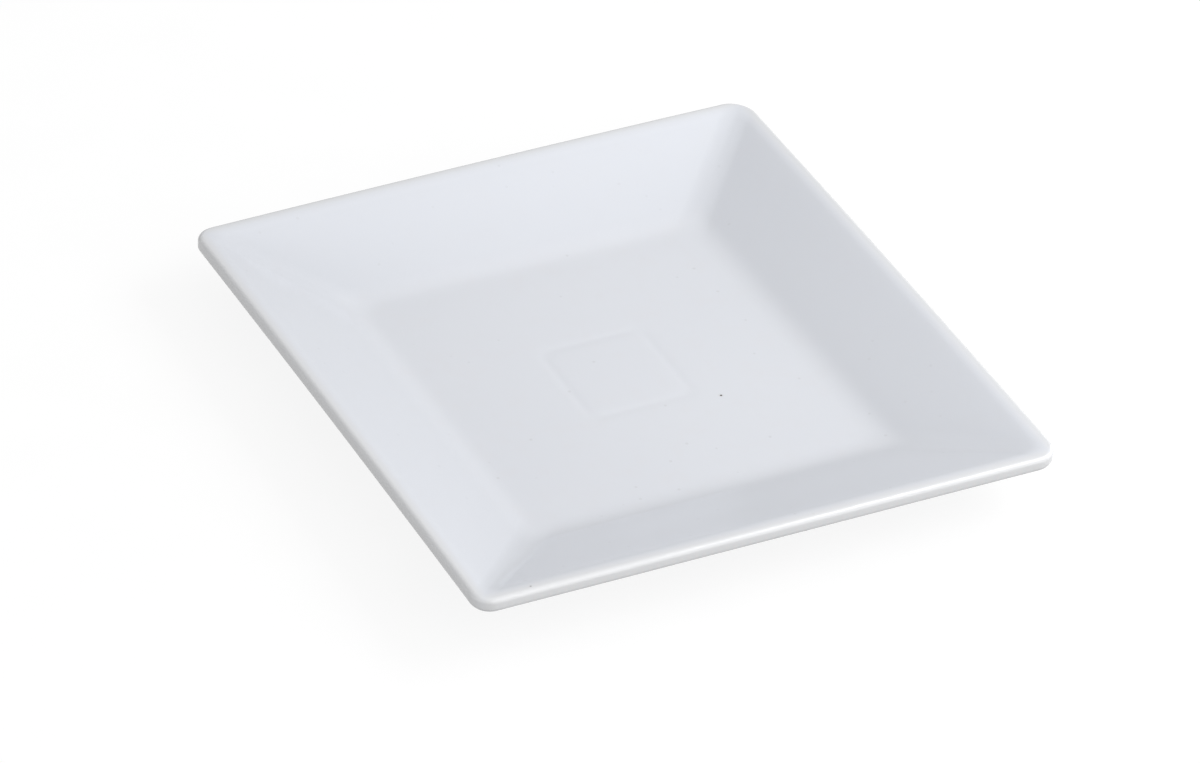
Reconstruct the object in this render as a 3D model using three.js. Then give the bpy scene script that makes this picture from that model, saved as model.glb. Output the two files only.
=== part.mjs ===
// Square plate in glazed porcelain: a flat square well, a sloping rim that turns soft mitred corners and
// ends in a rounded edge, a square foot ring, and a small support ring under the middle of the well.
// Millimetres, +Z up. The origin is the middle of the foot ring's bearing plane, and the sides of the
// plate lie along X and Y.
import * as THREE from 'three';

// Face of the plate, measured over the glaze
const PLATE_SIDE = 152;
const WELL_SIDE = 94.6;
const WELL_DEPTH = 11.2;
const RIM_CORNER_RADIUS = 5.8;
const WELL_CORNER_RADIUS = 6;
const COVE_RADIUS = 18;
const CREST_RADIUS = 8;

// Edge of the rim: a narrow upright face, rounded over to the crest and under to the flank
const EDGE_THICKNESS = 4;
const EDGE_TOP_RADIUS = 1.2;
const EDGE_BOTTOM_RADIUS = 1.6;

// Thickness of the body, and the round under the border of the well
const FLOOR_THICKNESS = 4.5;
const RIM_ROOT_THICKNESS = 5;
const KNUCKLE_RADIUS = 8;

// Foot ring: set in from the border of the well, so that it stands on the well floor of a like plate
const FOOT_HEIGHT = 3;
const FOOT_WIDTH = 4;
const FOOT_INSET = 3.3;

// Support ring: it clears the table while the foot ring stands on it
const SUPPORT_SIDE = 27;
const SUPPORT_WIDTH = 2.8;
const SUPPORT_CORNER_RADIUS = 3;
const SUPPORT_CLEARANCE = 0.4;

// Sides of both rings
const RING_DRAFT = THREE.MathUtils.degToRad(6);
const RING_EDGE_RADIUS = 0.6;
const RING_FILLET_RADIUS = 0.8;

// Glaze: wiped off both rings up to this height above their bearing faces
const GLAZE_THICKNESS = 0.3;
const WIPED_HEIGHT = 1;

// Facets: the most that a section's chord leaves its arc, and the steps of each plan corner
const CHORD_TOLERANCE = 0.025;
const CORNER_STEPS = 6;

// Two points of a section that lie closer than this are one point
const SAME_POINT = 1e-6;

// Heights and half widths that follow from the sizes above. A round of the edge takes at most half of it.
const RIM_HALF = PLATE_SIDE / 2;
const WELL_HALF = WELL_SIDE / 2;
const SUPPORT_HALF = SUPPORT_SIDE / 2;
const FOOT_HALF = WELL_HALF - FOOT_INSET;
const EDGE_TOP = Math.min(EDGE_TOP_RADIUS, EDGE_THICKNESS / 2);
const EDGE_BOTTOM = Math.min(EDGE_BOTTOM_RADIUS, EDGE_THICKNESS / 2);
const CREST_HALF = RIM_HALF - EDGE_TOP;
const BASE_Z = FOOT_HEIGHT;
const WELL_Z = BASE_Z + FLOOR_THICKNESS;
const CREST_Z = WELL_Z + WELL_DEPTH;

const QUARTER_TURN = Math.PI / 2;

// Direction of the line from a point to the circle that it touches, above (1) or below (-1) its centre
function tangentAngle(point, centre, radius, side) {
  const reach = centre.clone().sub(point);
  return Math.atan2(reach.y, reach.x) + side * Math.asin(radius / reach.length());
}

// Point on the side of a ring at height z: the side leans by the draft, outwards (1) or inwards (-1)
function ringSide(halfAtTable, z, lean) {
  return new THREE.Vector2(halfAtTable + lean * z * Math.tan(RING_DRAFT), z);
}

// Carries a section round a corner with a fillet that takes at most half of the wall on either side
function fillet(path, corner, next, radius) {
  const before = corner.clone().sub(path.currentPoint);
  const after = next.clone().sub(corner);
  const wall = Math.min(before.length(), after.length()) / 2;
  before.normalize();
  after.normalize();
  const turn = Math.acos(before.dot(after));
  const setback = Math.min(radius * Math.tan(turn / 2), wall);
  const used = setback / Math.tan(turn / 2);
  const clockwise = before.cross(after) < 0;
  const inward = clockwise ? -1 : 1;
  const start = corner.clone().addScaledVector(before, -setback);
  const centre = start.clone().add(new THREE.Vector2(-before.y, before.x).multiplyScalar(inward * used));
  const startAngle = Math.atan2(start.y - centre.y, start.x - centre.x);
  path.lineTo(start.x, start.y);
  path.absarc(centre.x, centre.y, used, startAngle, startAngle + inward * turn, clockwise);
}

// Half section of the face and the back: well floor, cove, slope, crest, rounded edge, flank and knuckle,
// down to the wiped line on the foot ring
function faceSection() {
  const wellBorder = new THREE.Vector2(WELL_HALF, WELL_Z);
  const crestCentre = new THREE.Vector2(CREST_HALF, CREST_Z - CREST_RADIUS);
  const edgeTop = new THREE.Vector2(CREST_HALF, CREST_Z - EDGE_TOP);
  const edgeBottom = new THREE.Vector2(RIM_HALF - EDGE_BOTTOM, CREST_Z - EDGE_THICKNESS + EDGE_BOTTOM);
  const slope = tangentAngle(wellBorder, crestCentre, CREST_RADIUS, 1);
  const slopeDown = slope - QUARTER_TURN;
  const flankRoot = wellBorder.clone().add(
    new THREE.Vector2(Math.cos(slopeDown), Math.sin(slopeDown)).multiplyScalar(RIM_ROOT_THICKNESS));
  const flank = tangentAngle(flankRoot, edgeBottom, EDGE_BOTTOM, -1);
  const knuckle = new THREE.Vector2(flankRoot.x + (BASE_Z - flankRoot.y) / Math.tan(flank), BASE_Z);
  const footRoot = ringSide(FOOT_HALF, BASE_Z, 1);
  const wipedLine = ringSide(FOOT_HALF, WIPED_HEIGHT, 1);

  const path = new THREE.Path().moveTo(0, WELL_Z);
  fillet(path, wellBorder, crestCentre.clone().add(
    new THREE.Vector2(-Math.sin(slope), Math.cos(slope)).multiplyScalar(CREST_RADIUS)), COVE_RADIUS);
  path.absarc(crestCentre.x, crestCentre.y, CREST_RADIUS, slope + QUARTER_TURN, QUARTER_TURN, true);
  path.absarc(edgeTop.x, edgeTop.y, EDGE_TOP, QUARTER_TURN, 0, true);
  path.lineTo(RIM_HALF, edgeBottom.y);
  path.absarc(edgeBottom.x, edgeBottom.y, EDGE_BOTTOM, 0, flank - QUARTER_TURN, true);
  fillet(path, knuckle, footRoot, KNUCKLE_RADIUS);
  fillet(path, footRoot, wipedLine, RING_FILLET_RADIUS);
  return path.lineTo(wipedLine.x, wipedLine.y);
}

// Half section of a ring's wiped clay: one glaze thickness is added all round, as on the glazed faces
function bearingSection(outerHalf, width, bearingZ) {
  const innerHalf = outerHalf - width;
  const top = bearingZ + WIPED_HEIGHT;
  const bottom = bearingZ - GLAZE_THICKNESS;
  const start = ringSide(outerHalf, top, 1);
  const end = ringSide(innerHalf, top, -1);
  const path = new THREE.Path().moveTo(start.x, start.y);
  const innerCorner = ringSide(innerHalf, bottom, -1);
  fillet(path, ringSide(outerHalf, bottom, 1), innerCorner, RING_EDGE_RADIUS);
  fillet(path, innerCorner, end, RING_EDGE_RADIUS);
  return path.lineTo(end.x, end.y);
}

// Half section of the recess from the foot ring's wiped line to the support ring's
function recessSection() {
  const start = ringSide(FOOT_HALF - FOOT_WIDTH, WIPED_HEIGHT, -1);
  const end = ringSide(SUPPORT_HALF, SUPPORT_CLEARANCE + WIPED_HEIGHT, 1);
  const supportRoot = ringSide(SUPPORT_HALF, BASE_Z, 1);
  const path = new THREE.Path().moveTo(start.x, start.y);
  fillet(path, ringSide(FOOT_HALF - FOOT_WIDTH, BASE_Z, -1), supportRoot, RING_FILLET_RADIUS);
  fillet(path, supportRoot, end, RING_FILLET_RADIUS);
  return path.lineTo(end.x, end.y);
}

// Half section from the support ring's inner wiped line to the middle of the base
function centreSection() {
  const innerHalf = SUPPORT_HALF - SUPPORT_WIDTH;
  const start = ringSide(innerHalf, SUPPORT_CLEARANCE + WIPED_HEIGHT, -1);
  const middle = new THREE.Vector2(0, BASE_Z);
  const path = new THREE.Path().moveTo(start.x, start.y);
  fillet(path, ringSide(innerHalf, BASE_Z, -1), middle, RING_FILLET_RADIUS);
  return path.lineTo(middle.x, middle.y);
}

// Plan corner radius where the outline has this half width, from the axis out to the rim. The rounded edge
// keeps its thickness round a corner, so all its outlines turn about one centre there.
function cornerRadius(half) {
  const { mapLinear } = THREE.MathUtils;
  const crestCornerRadius = RIM_CORNER_RADIUS - EDGE_TOP;
  if (half < SUPPORT_HALF) {
    return mapLinear(half, 0, SUPPORT_HALF, 0, SUPPORT_CORNER_RADIUS);
  }
  if (half < WELL_HALF) {
    return mapLinear(half, SUPPORT_HALF, WELL_HALF, SUPPORT_CORNER_RADIUS, WELL_CORNER_RADIUS);
  }
  if (half < CREST_HALF) {
    return mapLinear(half, WELL_HALF, CREST_HALF, WELL_CORNER_RADIUS, crestCornerRadius);
  }
  return mapLinear(half, CREST_HALF, RIM_HALF, crestCornerRadius, RIM_CORNER_RADIUS);
}

// Stations along a section: half width, plan corner radius, height, and the direction out of the surface
function stationsOf(path) {
  const stations = [];
  const curves = path.curves.filter((curve) => curve.getLength() > SAME_POINT);
  for (const curve of curves) {
    const steps = curve.isEllipseCurve
      ? Math.ceil(curve.getLength() / Math.sqrt(8 * CHORD_TOLERANCE * curve.xRadius))
      : 1;
    for (let step = stations.length === 0 ? 0 : 1; step <= steps; step += 1) {
      const point = curve.getPoint(step / steps);
      const tangent = curve.getTangent(step / steps);
      stations.push({
        half: point.x,
        corner: cornerRadius(point.x),
        z: point.y,
        out: new THREE.Vector2(-tangent.y, tangent.x),
      });
    }
  }
  return stations;
}

// The clay under a glazed section: every station steps in by the glaze, round the same corner centres
function claySide(stations) {
  return stations.map(({ half, corner, z, out }) => ({
    half: half - GLAZE_THICKNESS * out.x,
    corner: corner - GLAZE_THICKNESS * out.x,
    z: z - GLAZE_THICKNESS * out.y,
  }));
}

// A layer of glaze: out along the glazed section and back along the clay
function glazeLayer(stations) {
  return [...stations, ...claySide(stations).reverse()];
}

// Adds one rounded square to the positions, or a single point on the axis
function addOutline(positions, { half, corner, z }) {
  const first = positions.length / 3;
  if (half === 0) {
    positions.push(0, 0, z);
    return { first, size: 1 };
  }
  const reach = half - corner;
  for (const [quarter, [x, y]] of [[1, 1], [-1, 1], [-1, -1], [1, -1]].entries()) {
    for (let step = 0; step <= CORNER_STEPS; step += 1) {
      const angle = (quarter + step / CORNER_STEPS) * QUARTER_TURN;
      positions.push(x * reach + corner * Math.cos(angle), y * reach + corner * Math.sin(angle), z);
    }
  }
  return { first, size: positions.length / 3 - first };
}

// Joins two neighbouring outlines with triangles that face out of the solid
function stitch(indices, from, to) {
  const size = Math.max(from.size, to.size);
  const at = (outline, step) => outline.first + step % outline.size;
  for (let step = 0; step < size; step += 1) {
    if (to.size > 1) indices.push(at(from, step), at(to, step), at(to, step + 1));
    if (from.size > 1) indices.push(at(from, step), at(to, step + 1), at(from, step + 1));
  }
}

// Closed solid lofted through rounded squares. Its section ends on the axis, or closes on itself as a loop.
function squareLoft(stations, isLoop) {
  const positions = [];
  const indices = [];
  const outlines = stations.map((station) => addOutline(positions, station));
  for (let step = 1; step < outlines.length; step += 1) {
    const joinsOnAxis = outlines[step - 1].size === 1 && outlines[step].size === 1;
    if (!joinsOnAxis) stitch(indices, outlines[step - 1], outlines[step]);
  }
  if (isLoop) stitch(indices, outlines.at(-1), outlines[0]);
  const geometry = new THREE.BufferGeometry();
  geometry.setAttribute('position', new THREE.Float32BufferAttribute(positions, 3));
  geometry.setIndex(indices);
  geometry.computeVertexNormals();
  return geometry;
}

const bisque = new THREE.MeshStandardMaterial({ color: '#ece8df', roughness: 0.85, metalness: 0 });
const glaze = new THREE.MeshStandardMaterial({ color: '#e6e9ee', roughness: 0.12, metalness: 0 });

function addPiece(group, name, geometry, material) {
  const mesh = new THREE.Mesh(geometry, material);
  mesh.name = name;
  group.add(mesh);
}

const face = stationsOf(faceSection());
const footBearing = stationsOf(bearingSection(FOOT_HALF, FOOT_WIDTH, 0));
const recess = stationsOf(recessSection());
const supportBearing = stationsOf(bearingSection(SUPPORT_HALF, SUPPORT_WIDTH, SUPPORT_CLEARANCE));
const centre = stationsOf(centreSection());
const wholeSection = [face, footBearing, recess, supportBearing, centre]
  .flatMap((stations, index) => (index === 0 ? stations : stations.slice(1)));

const plate = new THREE.Group();
plate.name = 'square_plate';
addPiece(plate, 'porcelain_body', squareLoft(claySide(wholeSection), false), bisque);
addPiece(plate, 'outer_glaze', squareLoft(glazeLayer(face), false), glaze);
addPiece(plate, 'base_glaze', squareLoft(glazeLayer(recess), true), glaze);
addPiece(plate, 'base_centre_glaze', squareLoft(glazeLayer(centre), true), glaze);

export default plate;
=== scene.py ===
"""Square plate in glazed porcelain: the looks of the clay, the glaze and its small irregularities."""
import math

import bpy
from mathutils import Matrix, Vector, noise


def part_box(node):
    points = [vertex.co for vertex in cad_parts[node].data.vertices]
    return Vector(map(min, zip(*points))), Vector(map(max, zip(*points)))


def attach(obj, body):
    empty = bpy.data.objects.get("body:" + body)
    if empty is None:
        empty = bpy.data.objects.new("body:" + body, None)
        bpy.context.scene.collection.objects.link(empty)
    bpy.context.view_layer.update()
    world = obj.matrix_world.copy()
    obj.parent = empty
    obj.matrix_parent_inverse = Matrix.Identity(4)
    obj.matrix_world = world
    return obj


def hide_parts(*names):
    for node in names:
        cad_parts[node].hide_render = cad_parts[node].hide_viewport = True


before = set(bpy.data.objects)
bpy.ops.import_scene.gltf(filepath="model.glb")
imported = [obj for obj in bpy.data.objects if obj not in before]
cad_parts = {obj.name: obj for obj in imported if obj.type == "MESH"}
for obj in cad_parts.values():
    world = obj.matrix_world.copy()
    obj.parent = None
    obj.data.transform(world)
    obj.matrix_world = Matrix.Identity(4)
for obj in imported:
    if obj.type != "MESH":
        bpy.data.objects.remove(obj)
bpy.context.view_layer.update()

MM = 0.001
QUARTER_TURN = math.pi / 2

# Sizes over the glaze. The frame gives the overall ones, and the rest repeat the solids' own sizes.
RIM_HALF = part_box("outer_glaze")[1].x
CREST_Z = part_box("outer_glaze")[1].z
WELL_HALF = 47.3 * MM
WELL_DEPTH = 11.2 * MM
FLOOR_THICKNESS = 4.5 * MM
RIM_ROOT_THICKNESS = 5 * MM
RIM_CORNER = 5.8 * MM
WELL_CORNER = 6 * MM
COVE_RADIUS = 18 * MM
CREST_RADIUS = 8 * MM
EDGE_THICKNESS = 4 * MM
EDGE_TOP = 1.2 * MM
EDGE_BOTTOM = 1.6 * MM
KNUCKLE_RADIUS = 8 * MM
FOOT_HALF = 44 * MM
FOOT_WIDTH = 4 * MM
SUPPORT_HALF = 13.5 * MM
SUPPORT_WIDTH = 2.8 * MM
SUPPORT_CORNER = 3 * MM
SUPPORT_CLEARANCE = 0.4 * MM
RING_DRAFT = math.radians(6)
RING_EDGE_RADIUS = 0.6 * MM
RING_FILLET_RADIUS = 0.8 * MM
GLAZE = 0.3 * MM
WIPED_HEIGHT = 1 * MM

WELL_Z = CREST_Z - WELL_DEPTH
BASE_Z = WELL_Z - FLOOR_THICKNESS
CREST_HALF = RIM_HALF - EDGE_TOP

# What the kiln did to a true plate: the rim twisted and sagged, its sides arched (from +X on), the slopes
# sagged, and the well sank along a square onto the support ring
RIM_TWIST = 1.05 * MM
RIM_SAG = 0.49 * MM
SIDE_ARCHES = (0.5 * MM, 0.4 * MM, 0.6 * MM, 0.0 * MM)
SLOPE_SAG = 0.2 * MM
SINK_DEPTH = 0.09 * MM
SINK_WIDTH = 1.3 * MM
SINK_REACH = 3 * SINK_WIDTH
# Corners trimmed by hand before the firing, each to its own radius (from +X +Y on)
CORNER_TRIM = (0.9 * MM, -1.0 * MM, -1.0 * MM, -0.1 * MM)
# Waves that the glaze set in: depth and number per metre. Its wiped ends have their own.
GLAZE_WAVES = ((0.030 * MM, 32.0), (0.008 * MM, 110.0))
WIPED_WAVE = 0.12 * MM
WIPED_WAVES_PER_METRE = 90.0

# Glaze colours, and the half widths over which those of the slope and of the thin edge come and go
GLAZE_COOL = (0.768, 0.790, 0.840, 1)
GLAZE_PALE = (0.794, 0.814, 0.860, 1)
GLAZE_MOTTLE = (0.778, 0.784, 0.822, 1)
# Grey of the pinholes: painted shade in the small pits of the glaze
GLAZE_PINHOLE_SHADE = (0.52, 0.52, 0.53, 1)
GLAZE_ON_SLOPE = (0.695, 0.718, 0.768, 1)
GLAZE_ON_EDGE = (0.775, 0.778, 0.784, 1)
SLOPE_COMES = (46 * MM, 52 * MM)
SLOPE_GOES = (74.5 * MM, 70.5 * MM)
EDGE_COMES = (72.5 * MM, 75.5 * MM)
GLAZE_ROUGHNESS = (0.05, 0.09)
GLAZE_IOR = 1.5
# Dark specks in the glaze: place, radius and how dark. The first is a speck of iron; the second, on the
# crest of the -Y side, is a pinhole painted as a dark speck, a painted shade. The border and the halo are
# in radii.
SPECKS_AND_PINHOLE_SHADE = ((Vector((19.1 * MM, -16.7 * MM, WELL_Z)), 0.27 * MM, 1.0),
          (Vector((-62.5 * MM, -74.3 * MM, CREST_Z + 0.34 * MM)), 0.24 * MM, 0.45))
# Colours of the iron speck, also used for the pinhole's painted shade
IRON_AND_PINHOLE_SHADE = (0.055, 0.045, 0.042, 1)
IRON_HALO_AND_PINHOLE_SHADE = (0.42, 0.36, 0.30, 1)
SPECK_BORDER = (1.15, 0.7)
SPECK_HALO = (3.2, 1.0)
SPECK_HALO_SHARE = 0.18
SPECK_RAGGED = 0.12 * MM
# Bare clay
CLAY = (0.70, 0.66, 0.59, 1)
CLAY_PALE = (0.80, 0.77, 0.71, 1)
CLAY_GRIT = (0.36, 0.31, 0.25, 1)
CLAY_ROUGHNESS = (0.82, 0.95)
# Values between which most of a noise lies
NOISE_RANGE = (0.3, 0.7)

# Mesh steps: along each plan corner, each side and an arc, the longest of a straight, and over the sunk
# square. An outline of less than the last half width is one point.
CORNER_STEPS = 16
SIDE_STEPS = 36
ARC_STEP = math.radians(6)
LEAST_ARC_STEPS = 6
LONGEST_STEP = 2.5 * MM
SINK_STEP = 0.35 * MM
ON_AXIS = 0.001 * MM

# Camera: its picture and focal length in pixels, its sensor in millimetres, what its axis meets, and where
# it stands from there
PHOTO_WIDTH = 1200
SENSOR_WIDTH = 36
FOCAL_LENGTH_PIXELS = 5056
CAMERA_AIM = Vector((-11.68, -11.81, 16.7)) * MM
CAMERA_DISTANCE = 1176.0 * MM
CAMERA_LOOK = Vector((0.42208, 0.67590, -0.60416)).normalized()
CAMERA_ROLL = math.radians(6.54)

# Light. A softbox has a name, degrees round from +X, degrees up, width and height in metres, and radiance.
# A radiance of 1 lights like a white sky.
WORLD_RADIANCE = 0.475
SOFTBOX_DISTANCE = 1.0
SOFTBOXES = (
    ("key", 341, 45, 0.7, 0.4, 3.9),
    ("low_key", 352, 17, 1.3, 0.5, 1.0),
    ("front", 288, 38, 1.05, 0.6, 1.5),
    ("low_front", 278, 7, 1.8, 0.22, 1.4),
    ("edge_light", 327, 55, 0.24, 0.11, 7.0),
    ("side", 200, 7, 1.6, 0.22, 2.3),
)

# Floor, just under the foot. Its glow is seen but lights nothing.
FLOOR_SIDE = 12.0
FLOOR_Z = -0.05 * MM
FLOOR_ALBEDO = 0.15
FLOOR_GRAIN = 0.01
FLOOR_GLOW = 0.87


# Half sections. A section is a list of points: half width, height and the direction out of the surface.

def unit(across, up):
    length = math.hypot(across, up)
    return across / length, up / length


def ring_side(half_at_table, z, lean):
    """Point on a ring's side, which leans outwards (1) or inwards (-1) by the draft."""
    return half_at_table + lean * z * math.tan(RING_DRAFT), z


def tangent_angle(point, centre, radius, side):
    """Direction of the line from a point that touches a circle above (1) or below (-1) its centre."""
    across, up = centre[0] - point[0], centre[1] - point[1]
    return math.atan2(up, across) + side * math.asin(radius / math.hypot(across, up))


def add_arc(section, centre, radius, start, end):
    """Adds an arc. One that runs clockwise bulges out of the surface."""
    bulge = 1 if end < start else -1
    steps = max(LEAST_ARC_STEPS, math.ceil(abs(end - start) / ARC_STEP))
    for step in range(steps + 1):
        angle = start + (end - start) * step / steps
        across, up = math.cos(angle), math.sin(angle)
        place = (centre[0] + radius * across, centre[1] + radius * up)
        section.append((*place, bulge * across, bulge * up))


def add_fillet(section, corner, following, radius):
    """Carries a section round a corner towards the point that follows it."""
    before = unit(corner[0] - section[-1][0], corner[1] - section[-1][1])
    after = unit(following[0] - corner[0], following[1] - corner[1])
    turn = math.acos(before[0] * after[0] + before[1] * after[1])
    inward = 1 if before[0] * after[1] - before[1] * after[0] > 0 else -1
    setback = radius * math.tan(turn / 2)
    centre = (corner[0] - before[0] * setback - inward * before[1] * radius,
              corner[1] - before[1] * setback + inward * before[0] * radius)
    start = math.atan2(inward * -before[0], inward * before[1])
    add_arc(section, centre, radius, start, start + inward * turn)


def add_end(section, point):
    """Ends a section on a straight, which keeps the direction of the last point."""
    section.append((*point, *section[-1][2:]))


def start_section(point, following):
    across, up = unit(following[0] - point[0], following[1] - point[1])
    return [(*point, -up, across)]


def well_floor():
    """The well floor, with points close together over the square that sank onto the support ring."""
    section = start_section((0, WELL_Z), (WELL_HALF, WELL_Z))
    steps = round(2 * SINK_REACH / SINK_STEP)
    for step in range(steps + 1):
        offset = 2 * SINK_REACH * step / steps - SINK_REACH
        sink = SINK_DEPTH * math.exp(-(offset / SINK_WIDTH) ** 2)
        section.append((SUPPORT_HALF + offset, WELL_Z - sink, 0, 1))
    return section


def face_section():
    """Face and back: well, cove, slope, crest, rounded edge, flank and knuckle, to the wiped line."""
    border = (WELL_HALF, WELL_Z)
    crest = (CREST_HALF, CREST_Z - CREST_RADIUS)
    edge_top = (CREST_HALF, CREST_Z - EDGE_TOP)
    edge_bottom = (RIM_HALF - EDGE_BOTTOM, CREST_Z - EDGE_THICKNESS + EDGE_BOTTOM)
    slope = tangent_angle(border, crest, CREST_RADIUS, 1)
    slope_top = (crest[0] - CREST_RADIUS * math.sin(slope), crest[1] + CREST_RADIUS * math.cos(slope))
    flank_root = (border[0] + RIM_ROOT_THICKNESS * math.sin(slope),
                  border[1] - RIM_ROOT_THICKNESS * math.cos(slope))
    flank = tangent_angle(flank_root, edge_bottom, EDGE_BOTTOM, -1)
    knuckle = (flank_root[0] + (BASE_Z - flank_root[1]) / math.tan(flank), BASE_Z)
    foot_root = ring_side(FOOT_HALF, BASE_Z, 1)
    wiped = ring_side(FOOT_HALF, WIPED_HEIGHT, 1)

    section = well_floor()
    add_fillet(section, border, slope_top, COVE_RADIUS)
    add_arc(section, crest, CREST_RADIUS, slope + QUARTER_TURN, QUARTER_TURN)
    section.pop()
    add_arc(section, edge_top, EDGE_TOP, QUARTER_TURN, 0)
    add_arc(section, edge_bottom, EDGE_BOTTOM, 0, flank - QUARTER_TURN)
    add_fillet(section, knuckle, foot_root, KNUCKLE_RADIUS)
    add_fillet(section, foot_root, wiped, RING_FILLET_RADIUS)
    add_end(section, wiped)
    return section


def bearing_section(outer_half, width, bearing_z):
    """The wiped clay of a ring, one glaze thickness outside its true surface as on the glazed faces."""
    inner_half = outer_half - width
    top, bottom = bearing_z + WIPED_HEIGHT, bearing_z - GLAZE
    outer_corner = ring_side(outer_half, bottom, 1)
    inner_corner = ring_side(inner_half, bottom, -1)
    end = ring_side(inner_half, top, -1)
    section = start_section(ring_side(outer_half, top, 1), outer_corner)
    add_fillet(section, outer_corner, inner_corner, RING_EDGE_RADIUS)
    add_fillet(section, inner_corner, end, RING_EDGE_RADIUS)
    add_end(section, end)
    return section


def recess_section():
    """The recess from the foot ring's wiped line to the support ring's."""
    root = ring_side(FOOT_HALF - FOOT_WIDTH, BASE_Z, -1)
    support_root = ring_side(SUPPORT_HALF, BASE_Z, 1)
    end = ring_side(SUPPORT_HALF, SUPPORT_CLEARANCE + WIPED_HEIGHT, 1)
    section = start_section(ring_side(FOOT_HALF - FOOT_WIDTH, WIPED_HEIGHT, -1), root)
    add_fillet(section, root, support_root, RING_FILLET_RADIUS)
    add_fillet(section, support_root, end, RING_FILLET_RADIUS)
    add_end(section, end)
    return section


def centre_section():
    """From the support ring's inner wiped line to the middle of the base."""
    inner_half = SUPPORT_HALF - SUPPORT_WIDTH
    root = ring_side(inner_half, BASE_Z, -1)
    middle = (0, BASE_Z)
    section = start_section(ring_side(inner_half, SUPPORT_CLEARANCE + WIPED_HEIGHT, -1), root)
    add_fillet(section, root, middle, RING_FILLET_RADIUS)
    add_end(section, middle)
    return section


# Lofts of rounded squares. A station adds the plan corner radius to a point of a section.

def smooth_step(value, low, high):
    share = min(1, max(0, (value - low) / (high - low)))
    return share * share * (3 - 2 * share)


def corner_radius(half):
    """Plan corner radius at this half width. The edge keeps its thickness round a corner."""
    knots = ((0, 0), (SUPPORT_HALF, SUPPORT_CORNER), (WELL_HALF, WELL_CORNER),
             (CREST_HALF, RIM_CORNER - EDGE_TOP), (RIM_HALF, RIM_CORNER))
    for (low, low_radius), (high, high_radius) in zip(knots, knots[1:]):
        if half <= high:
            break
    return low_radius + (high_radius - low_radius) * (half - low) / (high - low)


def stations_of(section):
    """Stations of a section, with its long straights split."""
    stations = []
    for half, z, across, up in section:
        station = (half, corner_radius(half), z, across, up)
        if stations:
            last = stations[-1]
            steps = math.ceil(math.hypot(half - last[0], z - last[2]) / LONGEST_STEP)
            for step in range(1, steps):
                stations.append(tuple(a + (b - a) * step / steps for a, b in zip(last, station)))
        stations.append(station)
    return stations


def rows_of(stations, depth):
    """Loft rows this deep under the stations: half width, corner radius, height, share of glaze waves."""
    wave = 0 if depth else 1
    return [(half - depth * across, corner - depth * across, z - depth * up, wave)
            for half, corner, z, across, up in stations]


def bead_rows(station, forwards):
    """Rows of the round end of a glaze layer, from its face to the clay (1) or from the clay out (-1)."""
    half, corner, z, across, up = station
    rows = []
    for step in range(1, LEAST_ARC_STEPS):
        angle = math.pi * step / LEAST_ARC_STEPS
        out = (forwards * math.cos(angle) - 1) * GLAZE / 2
        along = forwards * math.sin(angle) * GLAZE / 2
        shift = out * across + along * up
        rows.append((half + shift, corner + shift, z + out * up - along * across, 0))
    return rows


def outline(half, corner):
    """Points of a rounded square, always the same number, or the single point on the axis."""
    if half < ON_AXIS:
        return [(0.0, 0.0)]
    trimmed = smooth_step(half, WELL_HALF, RIM_HALF)
    radii = [corner + trim * trimmed for trim in CORNER_TRIM]
    points = []
    for quarter, radius in enumerate(radii):
        turn = Matrix.Rotation(quarter * QUARTER_TURN, 2)
        reach = half - radius
        next_reach = half - radii[(quarter + 1) % len(radii)]
        for step in range(CORNER_STEPS):
            angle = QUARTER_TURN * step / CORNER_STEPS
            across, along = reach + radius * math.cos(angle), reach + radius * math.sin(angle)
            points.append(turn @ Vector((across, along)))
        for step in range(SIDE_STEPS):
            points.append(turn @ Vector((reach - (reach + next_reach) * step / SIDE_STEPS, half)))
    return points


def kiln_lift(x, y):
    """How far the firing lifted the plate at this place: not at all over the foot."""
    half = max(abs(x), abs(y))
    if half <= FOOT_HALF:
        return 0.0
    rim = smooth_step(half, FOOT_HALF, RIM_HALF)
    side = round(math.atan2(y, x) / QUARTER_TURN) % len(SIDE_ARCHES)
    along_side = min(abs(x), abs(y)) / half
    arch = SIDE_ARCHES[side] * (1 - along_side ** 2)
    twist = RIM_TWIST * x * y / RIM_HALF ** 2
    up_slope = min(1, max(0, (half - WELL_HALF) / (CREST_HALF - WELL_HALF)))
    slope_sag = SLOPE_SAG * math.sin(math.pi * up_slope) ** 2
    return rim * (twist - RIM_SAG + arch) - slope_sag


def glaze_wave(x, y, z):
    """Waves that the melted glaze set in."""
    return sum(depth * noise.noise(Vector((x, y, z)) * per_metre) for depth, per_metre in GLAZE_WAVES)


def wiped_wave(x, y, z):
    """Rise and fall of the glaze along a wiped line, which fades out above it."""
    near_line = 1 - smooth_step(z, 1.5 * WIPED_HEIGHT, 2 * WIPED_HEIGHT)
    return WIPED_WAVE * near_line * noise.noise(Vector((x, y, 0)) * WIPED_WAVES_PER_METRE)


def fired(x, y, z, wave, is_glaze):
    """Place of a point after the firing."""
    lift = kiln_lift(x, y)
    if is_glaze:
        lift += wave * glaze_wave(x, y, z) + wiped_wave(x, y, z)
    return x, y, z + lift


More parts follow.
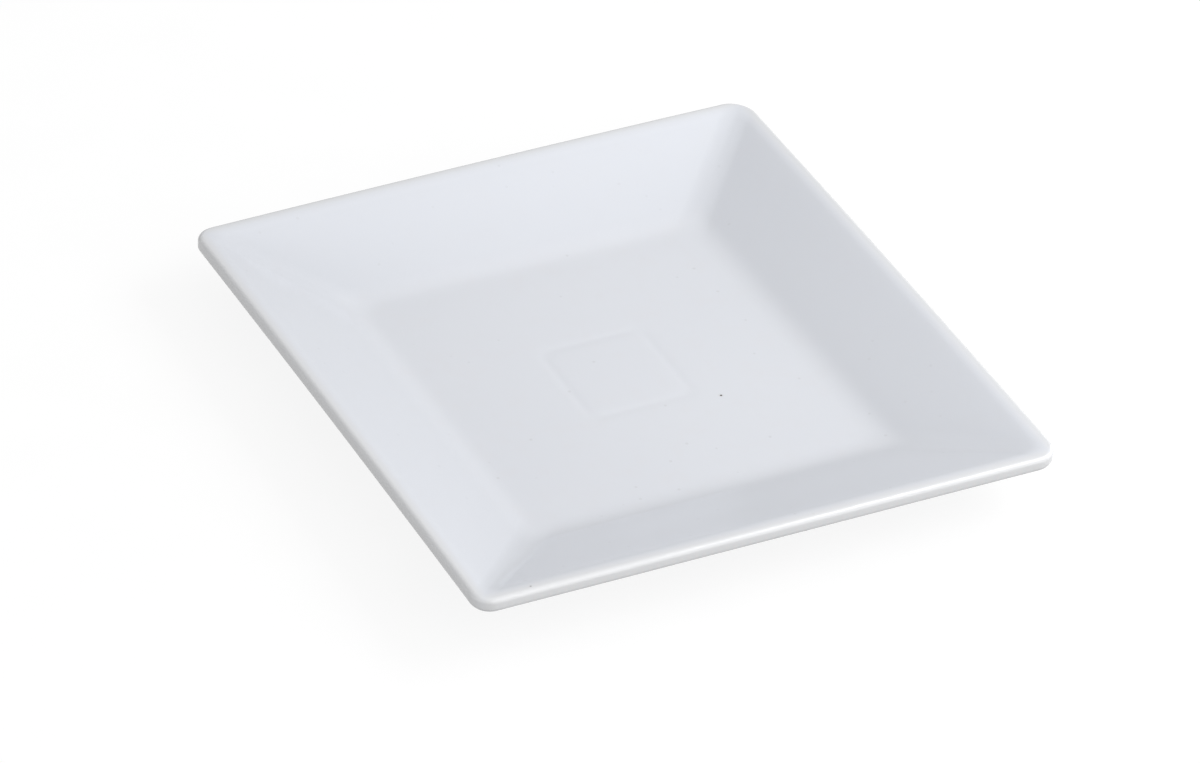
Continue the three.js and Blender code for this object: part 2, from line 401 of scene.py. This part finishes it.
def loft(name, rows, is_loop, is_glaze):
    """Makes a closed piece through the rows, which end on the axis or close on themselves as a loop."""
    points, faces, rings = [], [], []
    for half, corner, z, wave in rows:
        plan = outline(half, corner)
        rings.append(range(len(points), len(points) + len(plan)))
        points += [fired(x, y, z, wave, is_glaze) for x, y in plan]
    pairs = list(zip(rings, rings[1:]))
    if is_loop:
        pairs.append((rings[-1], rings[0]))
    for first, second in pairs:
        size = max(len(first), len(second))
        if size == 1:
            continue
        for step in range(size):
            here, following = step, (step + 1) % size
            if len(first) == 1:
                faces.append((first[0], second[here], second[following]))
            elif len(second) == 1:
                faces.append((first[here], second[0], first[following]))
            else:
                faces.append((first[here], second[here], second[following], first[following]))
    mesh = bpy.data.meshes.new(name)
    mesh.from_pydata(points, [], faces)
    mesh.shade_smooth()
    piece = bpy.data.objects.new(name, mesh)
    bpy.context.scene.collection.objects.link(piece)
    return piece


def glaze_rows(stations, starts_on_axis, ends_on_axis):
    """Rows of a glaze layer: along its face, round its wiped edge and back along the clay."""
    rows = rows_of(stations, 0)
    if not ends_on_axis:
        rows += bead_rows(stations[-1], 1)
    rows += reversed(rows_of(stations, GLAZE))
    if not starts_on_axis:
        rows += bead_rows(stations[0], -1)
    return rows


# Materials

class Nodes:
    """Adds shader nodes to a material or a world, and fills their sockets with values or other outputs."""

    # Sockets of a Mix node that take and give colours
    MIX_FIRST, MIX_SECOND, MIX_RESULT = 6, 7, 2

    def __init__(self, owner, shader="Principled BSDF"):
        owner.use_nodes = True
        self.owner = owner
        self.tree = owner.node_tree
        self.shader = self.tree.nodes[shader]

    def fill(self, socket, value):
        if isinstance(value, bpy.types.NodeSocket):
            self.tree.links.new(value, socket)
        else:
            socket.default_value = value

    def add(self, kind, values, **settings):
        node = self.tree.nodes.new(kind)
        for setting, value in settings.items():
            setattr(node, setting, value)
        for socket, value in values.items():
            self.fill(node.inputs[socket], value)
        return node.outputs

    def math(self, operation, first, second=0.0):
        return self.add("ShaderNodeMath", {0: first, 1: second}, operation=operation)[0]

    def noise(self, place, per_metre, detail):
        sockets = {"Vector": place, "Scale": per_metre, "Detail": detail}
        return self.add("ShaderNodeTexNoise", sockets)["Fac"]

    def cells(self, place, per_metre):
        """Distance from the nearest of many scattered points, in cells."""
        return self.add("ShaderNodeTexVoronoi", {"Vector": place, "Scale": per_metre})["Distance"]

    def ramp(self, value, low, high, to_low=0.0, to_high=1.0):
        sockets = {"Value": value, "From Min": low, "From Max": high, "To Min": to_low, "To Max": to_high}
        return self.add("ShaderNodeMapRange", sockets, interpolation_type="SMOOTHSTEP")[0]

    def mix(self, share, first, second):
        colours = {"Factor": share, self.MIX_FIRST: first, self.MIX_SECOND: second}
        return self.add("ShaderNodeMix", colours, data_type="RGBA")[self.MIX_RESULT]

    def bump(self, height, strength, distance):
        sockets = {"Height": height, "Strength": strength, "Distance": distance}
        return self.add("ShaderNodeBump", sockets)[0]

    def seen(self):
        """1 where the camera sees the surface, also mirrored or through glass, and 0 for its light."""
        path = self.add("ShaderNodeLightPath", {})
        mirrored = self.math("MAXIMUM", path["Is Glossy Ray"], path["Is Transmission Ray"])
        return self.math("MAXIMUM", path["Is Camera Ray"], mirrored)

    def finish(self, **values):
        for socket, value in values.items():
            self.fill(self.shader.inputs[socket.replace("_", " ")], value)
        return self.owner


def add_specks_and_pinhole_shade(nodes, place, colour):
    """The colour of the glaze with its specks, each a ragged dot in a faint brown halo: the speck of iron,
    and the pinhole's painted shade.
    """
    fray = nodes.noise(place, per_metre=4200.0, detail=2.0)
    ragged = nodes.ramp(fray, low=0.0, high=1.0, to_low=-SPECK_RAGGED, to_high=SPECK_RAGGED)
    for spot, radius, darkness in SPECKS_AND_PINHOLE_SHADE:
        offset = nodes.add("ShaderNodeVectorMath", {0: place, 1: spot}, operation="SUBTRACT")[0]
        distance = nodes.add("ShaderNodeVectorMath", {0: offset}, operation="LENGTH")["Value"]
        ragged_distance = nodes.math("ADD", distance, ragged)
        far, near = (reach * radius for reach in SPECK_HALO)
        halo = nodes.ramp(ragged_distance, far, near, to_high=SPECK_HALO_SHARE * darkness)
        colour = nodes.mix(halo, colour, IRON_HALO_AND_PINHOLE_SHADE)
        far, near = (reach * radius for reach in SPECK_BORDER)
        speck = nodes.ramp(ragged_distance, far, near, to_high=darkness)
        colour = nodes.mix(speck, colour, IRON_AND_PINHOLE_SHADE)
    return colour


def glaze_material():
    """Clear glass over white clay, greyer on the slopes and neutral where it thins on the edge."""
    nodes = Nodes(bpy.data.materials.new("porcelain_glaze"))
    place = nodes.add("ShaderNodeTexCoord", {})["Object"]
    x, y, _ = nodes.add("ShaderNodeSeparateXYZ", {0: place})
    half = nodes.math("MAXIMUM", nodes.math("ABSOLUTE", x), nodes.math("ABSOLUTE", y))

    tone = nodes.noise(place, per_metre=24.0, detail=3.0)
    colour = nodes.mix(tone, GLAZE_COOL, GLAZE_PALE)
    mottle = nodes.ramp(nodes.noise(place, per_metre=210.0, detail=4.0), low=0.45, high=0.75, to_high=0.3)
    colour = nodes.mix(mottle, colour, GLAZE_MOTTLE)
    # Pinholes, faint grey dots scattered over the glaze: painted shade in their small pits
    pinhole_shade = nodes.ramp(nodes.cells(place, per_metre=170.0), low=0.09, high=0.04, to_high=0.22)
    colour = nodes.mix(pinhole_shade, colour, GLAZE_PINHOLE_SHADE)
    slope_start = nodes.ramp(half, *SLOPE_COMES, to_high=0.5)
    slope = nodes.math("MULTIPLY", slope_start, nodes.ramp(half, *SLOPE_GOES))
    colour = nodes.mix(slope, colour, GLAZE_ON_SLOPE)
    thin = nodes.ramp(half, *EDGE_COMES, to_high=0.8)
    colour = nodes.mix(thin, colour, GLAZE_ON_EDGE)
    colour = add_specks_and_pinhole_shade(nodes, place, colour)

    roughness = nodes.ramp(nodes.noise(place, per_metre=160.0, detail=4.0), *NOISE_RANGE, *GLAZE_ROUGHNESS)
    peel = nodes.noise(place, per_metre=700.0, detail=2.0)
    bump = nodes.bump(peel, strength=0.05, distance=0.02 * MM)
    return nodes.finish(Base_Color=colour, Roughness=roughness, Normal=bump, IOR=GLAZE_IOR)


def bisque_material():
    """Bare fired clay: warm, matt and grainy, with a few fine dark specks."""
    nodes = Nodes(bpy.data.materials.new("bisque_clay"))
    place = nodes.add("ShaderNodeTexCoord", {})["Object"]
    tone = nodes.noise(place, per_metre=260.0, detail=5.0)
    colour = nodes.mix(tone, CLAY, CLAY_PALE)
    grit = nodes.ramp(nodes.cells(place, per_metre=650.0), low=0.16, high=0.08, to_high=0.45)
    colour = nodes.mix(grit, colour, CLAY_GRIT)
    grain = nodes.noise(place, per_metre=2600.0, detail=6.0)
    bump = nodes.bump(grain, strength=0.5, distance=0.06 * MM)
    roughness = nodes.ramp(grain, *NOISE_RANGE, *CLAY_ROUGHNESS)
    return nodes.finish(Base_Color=colour, Roughness=roughness, Normal=bump)


# Pieces

def dress(piece, material, node):
    piece.data.materials.append(material)
    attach(piece, "root")
    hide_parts(node)


def make_plate():
    face = stations_of(face_section())
    foot = stations_of(bearing_section(FOOT_HALF, FOOT_WIDTH, 0))
    recess = stations_of(recess_section())
    support = stations_of(bearing_section(SUPPORT_HALF, SUPPORT_WIDTH, SUPPORT_CLEARANCE))
    centre = stations_of(centre_section())
    whole = face + foot[1:] + recess[1:] + support[1:] + centre[1:]
    glaze = glaze_material()

    body = loft("porcelain_body_clay", rows_of(whole, GLAZE), False, False)
    dress(body, bisque_material(), "porcelain_body")
    outer = loft("outer_glaze_coat", glaze_rows(face, True, False), False, True)
    dress(outer, glaze, "outer_glaze")
    base = loft("base_glaze_coat", glaze_rows(recess, False, False), True, True)
    dress(base, glaze, "base_glaze")
    middle = loft("base_centre_glaze_coat", glaze_rows(centre, False, True), True, True)
    dress(middle, glaze, "base_centre_glaze")


# Studio

def add_softbox(name, azimuth, elevation, width, height, radiance):
    """Softbox that faces the plate. Its power gives the same radiance at any size."""
    lamp = bpy.data.lights.new(name, "AREA")
    lamp.shape = "RECTANGLE"
    lamp.size = width
    lamp.size_y = height
    lamp.energy = radiance * math.pi * width * height
    box = bpy.data.objects.new(name, lamp)
    turn = Matrix.Rotation(math.radians(azimuth), 3, "Z")
    tilt = Matrix.Rotation(math.radians(-elevation), 3, "Y")
    towards = turn @ tilt @ Vector((1, 0, 0))
    box.location = towards * SOFTBOX_DISTANCE
    box.rotation_euler = towards.to_track_quat("Z", "Y").to_euler()
    box.visible_camera = False
    bpy.context.scene.collection.objects.link(box)


def add_world():
    """Even light from all round."""
    nodes = Nodes(bpy.data.worlds.new("studio"), "Background")
    bpy.context.scene.world = nodes.finish(Color=(1, 1, 1, 1), Strength=WORLD_RADIANCE)


def add_floor():
    reach = FLOOR_SIDE / 2
    corners = [(-reach, -reach), (reach, -reach), (reach, reach), (-reach, reach)]
    mesh = bpy.data.meshes.new("floor")
    mesh.from_pydata([(x, y, FLOOR_Z) for x, y in corners], [], [(0, 1, 2, 3)])
    floor = bpy.data.objects.new("floor", mesh)
    bpy.context.scene.collection.objects.link(floor)
    nodes = Nodes(bpy.data.materials.new("pale_floor"))
    grain = nodes.noise(nodes.add("ShaderNodeTexCoord", {})["Object"], per_metre=40.0, detail=2.0)
    dark, light = FLOOR_ALBEDO - FLOOR_GRAIN, FLOOR_ALBEDO + FLOOR_GRAIN
    colour = nodes.mix(grain, (dark, dark, dark, 1), (light, light, light, 1))
    glow = nodes.math("MULTIPLY", nodes.seen(), FLOOR_GLOW)
    mesh.materials.append(nodes.finish(
        Base_Color=colour, Roughness=0.9, Specular_IOR_Level=0.0,
        Emission_Color=(1, 1, 1, 1), Emission_Strength=glow))


def add_camera():
    data = bpy.data.cameras.new("camera")
    data.sensor_width = SENSOR_WIDTH
    data.lens = FOCAL_LENGTH_PIXELS * SENSOR_WIDTH / PHOTO_WIDTH
    camera = bpy.data.objects.new("camera", data)
    level = CAMERA_LOOK.to_track_quat("-Z", "Y").to_matrix()
    turned = level @ Matrix.Rotation(CAMERA_ROLL, 3, "Z")
    stand = Matrix.Translation(CAMERA_AIM - CAMERA_LOOK * CAMERA_DISTANCE)
    camera.matrix_world = stand @ turned.to_4x4()
    bpy.context.scene.collection.objects.link(camera)
    bpy.context.scene.camera = camera


make_plate()
add_camera()
add_floor()
add_world()
for softbox in SOFTBOXES:
    add_softbox(*softbox)
bpy.context.scene.view_settings.view_transform = "Standard"
